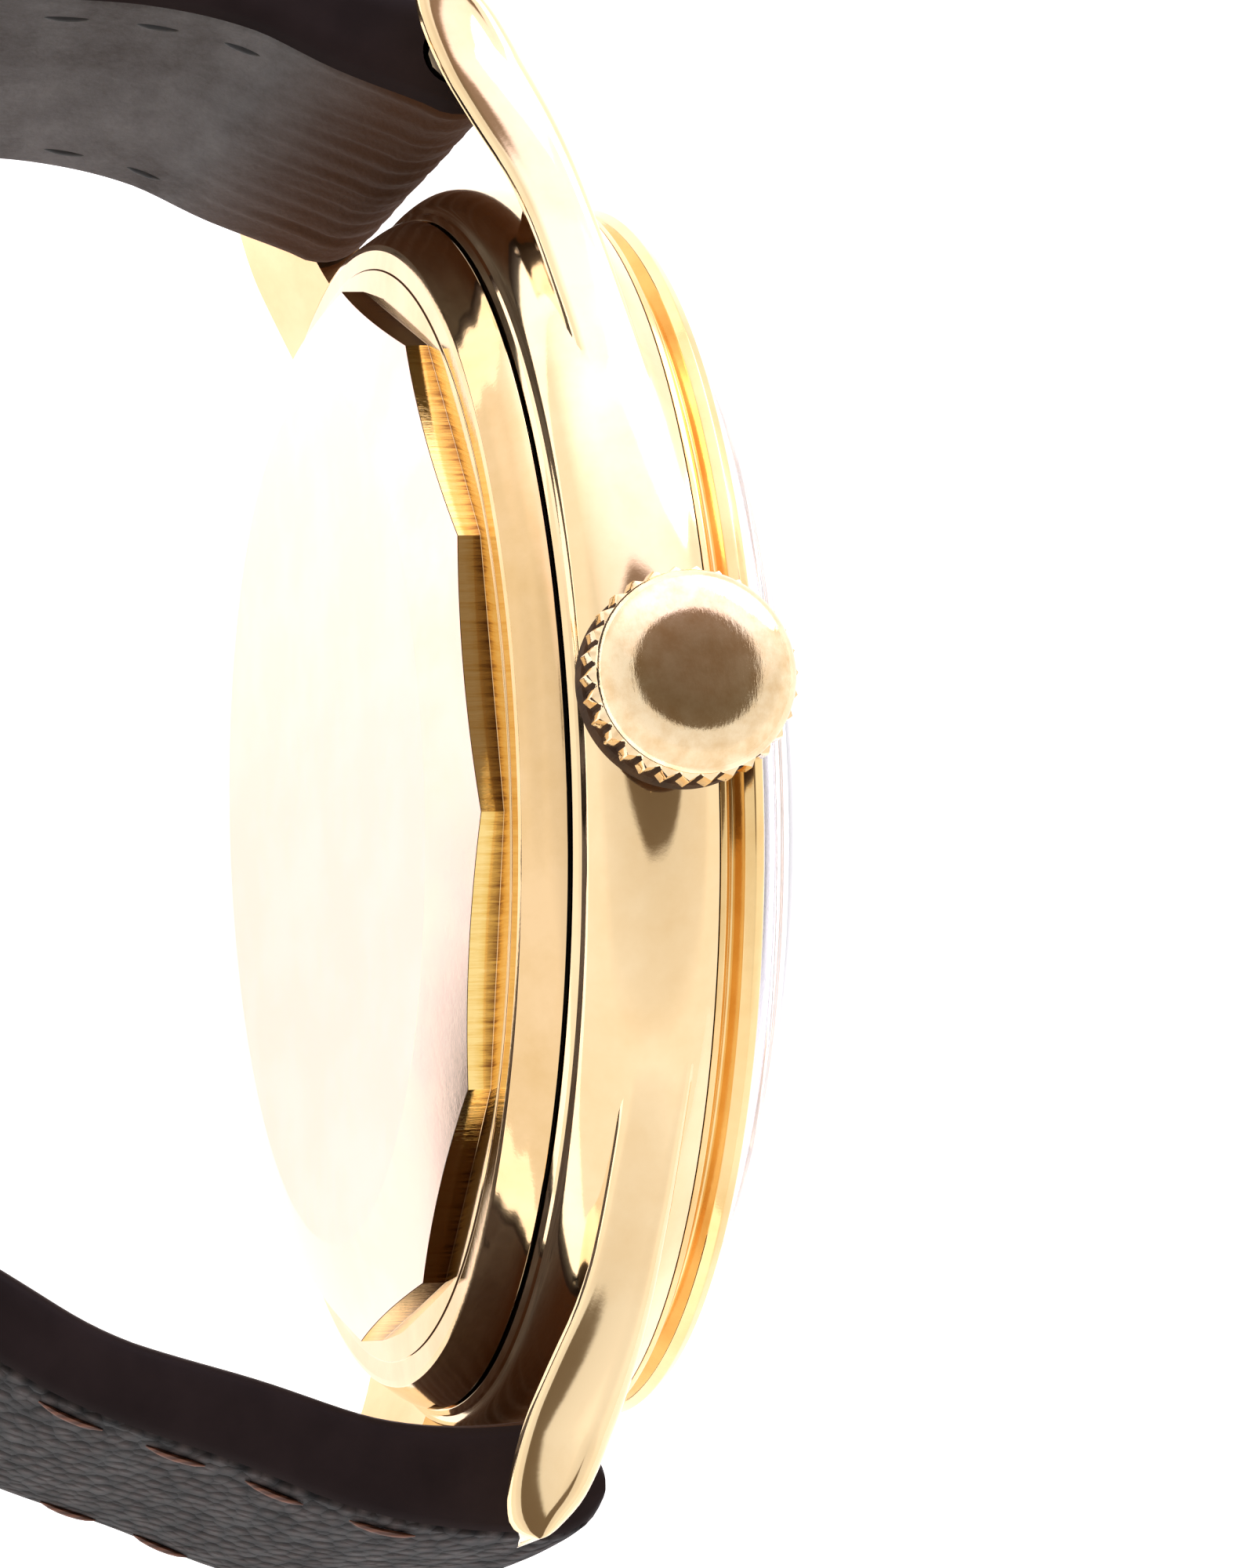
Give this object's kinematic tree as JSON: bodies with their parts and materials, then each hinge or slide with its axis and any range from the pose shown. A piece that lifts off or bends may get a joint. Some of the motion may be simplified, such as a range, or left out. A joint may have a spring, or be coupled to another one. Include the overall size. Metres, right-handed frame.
{
  "type": "wristwatch",
  "caption": "Round gold-plated wristwatch with a twelve-sided screw back, domed crystal, knurled crown and a leather strap with a pin buckle.",
  "frame": {"origin": "centre of the flat face of the case back", "axes": "+Z along the crown, away from the case; -Y out of the dial; +Y out of the case back towards the wrist; +X towards six o'clock"},
  "size_m": [0.0514, 0.0992, 0.0394],
  "materials": {
    "gold": "polished yellow gold plate",
    "back_gold": "worn polished gold plate with machining marks",
    "buckle_gold": "polished gold plate",
    "gilt": "polished gilt",
    "crystal": "clear domed acrylic",
    "rubber": "black rubber",
    "dial_paint": "satin silvered cream",
    "brass": "brushed gilt brass",
    "steel": "brushed steel",
    "leather": "dark brown grained leather"
  },
  "bodies": {
    "case": {"mid_case": "gold", "bezel": "gold", "crystal_ring": "gold", "case_back": "back_gold", "crystal": "crystal", "back_gasket": "rubber", "dial": "dial_paint", "hour_marker_01": "gilt", "hour_marker_02": "gilt", "hour_marker_03": "gilt", "hour_marker_04": "gilt", "hour_marker_05": "gilt", "hour_marker_06": "gilt", "hour_marker_07": "gilt", "hour_marker_08": "gilt", "hour_marker_09": "gilt", "hour_marker_10": "gilt", "hour_marker_11": "gilt", "hour_marker_12": "gilt", "movement_ring": "brass", "main_plate": "brass", "barrel_bridge": "brass", "train_bridge": "brass", "balance_cock": "brass", "escapement_bridge": "brass", "crown_tube": "steel", "hairspring": "steel", "rotor_post": "steel", "bridge_screw_1": "steel", "bridge_screw_2": "steel", "bridge_screw_3": "steel", "spring_bar_12": "steel", "spring_bar_6": "steel"},
    "crown": {"crown": "gold", "winding_stem": "steel"},
    "setting": {"setting_lever": "steel"},
    "crown_wheel": {"crown_wheel": "steel"},
    "ratchet_wheel": {"ratchet_wheel": "steel"},
    "minute": {"minute_hand": "gilt", "centre_wheel": "brass"},
    "hour": {"hour_hand": "gilt", "hour_wheel": "brass"},
    "seconds": {"seconds_hand": "gilt", "fourth_wheel": "brass"},
    "third_wheel": {"third_wheel": "brass"},
    "escape_wheel": {"escape_wheel": "brass"},
    "barrel": {"mainspring_barrel": "brass"},
    "pallet_fork": {"pallet_fork": "steel"},
    "balance": {"balance_wheel": "brass"},
    "rotor": {"rotor": "steel"},
    "strap_twelve": {"strap_12": "leather", "keeper_fixed": "leather"},
    "keeper": {"keeper_sliding": "leather"},
    "strap_six": {"strap_6": "leather"},
    "buckle": {"buckle_frame": "buckle_gold", "buckle_bar": "steel"},
    "tongue": {"buckle_tongue": "buckle_gold"}
  },
  "joints": [
    {"name": "crown_pull", "type": "slide", "parent": "case", "child": "setting", "axis": [0, 0, 1], "range_m": [0, 0.001]},
    {"name": "crown_turn", "type": "hinge", "parent": "setting", "child": "crown", "pos_m": [0, -0.00529, 0], "axis": [0, 0, 1], "continuous": true},
    {"name": "crown_wheel_turn", "type": "hinge", "parent": "case", "child": "crown_wheel", "pos_m": [0, 0, 0.0096], "axis": [0, 1, 0], "continuous": true},
    {"name": "ratchet_wheel_turn", "type": "hinge", "parent": "case", "child": "ratchet_wheel", "pos_m": [0.0056, 0, 0.0049], "axis": [0, 1, 0], "continuous": true},
    {"name": "minute_turn", "type": "hinge", "parent": "case", "child": "minute", "pos_m": [0, 0, 0], "axis": [0, 1, 0], "continuous": true},
    {"name": "hour_turn", "type": "hinge", "parent": "case", "child": "hour", "pos_m": [0, 0, 0], "axis": [0, 1, 0], "continuous": true},
    {"name": "seconds_turn", "type": "hinge", "parent": "case", "child": "seconds", "pos_m": [0, 0, 0], "axis": [0, 1, 0], "continuous": true},
    {"name": "third_wheel_turn", "type": "hinge", "parent": "case", "child": "third_wheel", "pos_m": [0.003, 0, -0.0046], "axis": [0, 1, 0], "continuous": true},
    {"name": "escape_wheel_turn", "type": "hinge", "parent": "case", "child": "escape_wheel", "pos_m": [-0.0066, 0, 0.0032], "axis": [0, 1, 0], "continuous": true},
    {"name": "barrel_turn", "type": "hinge", "parent": "case", "child": "barrel", "pos_m": [0.0056, 0, 0.0049], "axis": [0, 1, 0], "continuous": true},
    {"name": "pallet_swing", "type": "hinge", "parent": "case", "child": "pallet_fork", "pos_m": [-0.007, 0, 0.0003], "axis": [0, 1, 0], "range_deg": [-6, 6]},
    {"name": "balance_swing", "type": "hinge", "parent": "case", "child": "balance", "pos_m": [-0.0074, 0, -0.0043], "axis": [0, 1, 0], "range_deg": [-270, 270]},
    {"name": "rotor_turn", "type": "hinge", "parent": "case", "child": "rotor", "pos_m": [0, 0, 0], "axis": [0, 1, 0], "continuous": true},
    {"name": "strap_twelve_swing", "type": "hinge", "parent": "case", "child": "strap_twelve", "pos_m": [-0.0199, -0.00299, 0], "axis": [0, 0, 1], "range_deg": [0, 50]},
    {"name": "strap_six_swing", "type": "hinge", "parent": "case", "child": "strap_six", "pos_m": [0.0199, -0.00299, 0], "axis": [0, 0, -1], "range_deg": [0, 50]},
    {"name": "buckle_swing", "type": "hinge", "parent": "strap_twelve", "child": "buckle", "pos_m": [0.0132, 0.0507, 0], "axis": [0, 0, 1], "range_deg": [-20, 60]},
    {"name": "tongue_swing", "type": "hinge", "parent": "buckle", "child": "tongue", "pos_m": [0.0132, 0.0507, 0], "axis": [0, 0, 1], "range_deg": [0, 60]},
    {"name": "keeper_slide", "type": "slide", "parent": "strap_twelve", "child": "keeper", "axis": [0.5889, 0.8082, 0], "range_m": [-0.008, 0.005]}
  ],
  "couplings": [
    {"joint": "crown_wheel_turn", "follows": "crown_turn", "ratio": -0.625},
    {"joint": "ratchet_wheel_turn", "follows": "crown_turn", "ratio": 0.41667},
    {"joint": "hour_turn", "follows": "minute_turn", "ratio": 0.083333},
    {"joint": "third_wheel_turn", "follows": "seconds_turn", "ratio": -0.13333},
    {"joint": "escape_wheel_turn", "follows": "seconds_turn", "ratio": -10},
    {"joint": "barrel_turn", "follows": "seconds_turn", "ratio": -0.002381}
  ]
}
